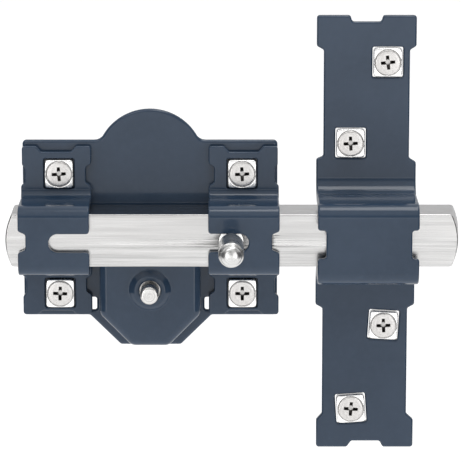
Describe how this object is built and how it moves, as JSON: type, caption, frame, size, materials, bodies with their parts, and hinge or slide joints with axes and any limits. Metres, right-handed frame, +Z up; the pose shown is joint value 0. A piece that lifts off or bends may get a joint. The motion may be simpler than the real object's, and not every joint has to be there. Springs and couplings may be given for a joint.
{
  "type": "surface sliding door bolt",
  "caption": "Surface-mounted sliding door bolt: square bar in two bent guide brackets on a base plate, pull knob, rack drive, locking push-button and a bridge keeper.",
  "frame": {"origin": "on the back face of the base plate, at the middle of its width, level with the centre line of the bolt", "axes": "+X the way the bolt is thrown, +Y into the door, +Z up; the lock faces -Y"},
  "size_m": [0.1397, 0.0592, 0.1384],
  "materials": {
    "slate_enamel": "glossy slate blue-grey enamel on pressed steel",
    "brushed_nickel": "nickel plated, brushed along its length",
    "bright_zinc": "bright zinc plated",
    "polished_steel": "polished turned steel",
    "spring_steel": "bare spring steel",
    "sintered_steel": "dull sintered and stamped steel"
  },
  "bodies": {
    "lock_body": {"base_plate": "slate_enamel", "guide_bracket_left": "slate_enamel", "guide_bracket_right": "slate_enamel", "mechanism_housing": "slate_enamel", "friction_spring": "spring_steel", "button_spring": "spring_steel", "lock_washer_tl": "bright_zinc", "lock_washer_tr": "bright_zinc", "lock_washer_bl": "bright_zinc", "lock_washer_br": "bright_zinc", "lock_screw_tl": "bright_zinc", "lock_screw_tr": "bright_zinc", "lock_screw_bl": "bright_zinc", "lock_screw_br": "bright_zinc"},
    "bolt": {"bolt_bar": "brushed_nickel", "knob_stem": "polished_steel", "knob_grip": "polished_steel"},
    "button": {"push_button": "polished_steel", "locking_plate": "sintered_steel"},
    "pinion": {"drive_pinion": "sintered_steel"},
    "keeper": {"keeper_plate": "slate_enamel", "keeper_washer_1": "bright_zinc", "keeper_washer_2": "bright_zinc", "keeper_washer_3": "bright_zinc", "keeper_washer_4": "bright_zinc", "keeper_screw_1": "bright_zinc", "keeper_screw_2": "bright_zinc", "keeper_screw_3": "bright_zinc", "keeper_screw_4": "bright_zinc"}
  },
  "joints": [
    {"name": "bolt_slide", "type": "slide", "parent": "lock_body", "child": "bolt", "axis": [1, 0, 0], "range_m": [-0.0525, 0.0026]},
    {"name": "pinion_spin", "type": "hinge", "parent": "lock_body", "child": "pinion", "pos_m": [0, -0.0039, -0.0177], "axis": [0, 1, 0], "range_deg": [-290, 16]},
    {"name": "button_press", "type": "slide", "parent": "lock_body", "child": "button", "axis": [0, 1, 0], "range_m": [0, 0.0017], "stiffness_N_per_m": 600, "springref_m": -0.002, "deforming": ["button_spring"]},
    {"name": "keeper_part", "type": "slide", "parent": "lock_body", "child": "keeper", "axis": [1, 0, 0], "range_m": [0, 0.05]}
  ],
  "couplings": [
    {"joint": "pinion_spin", "follows": "bolt_slide", "rad_per_m": 95.694}
  ]
}
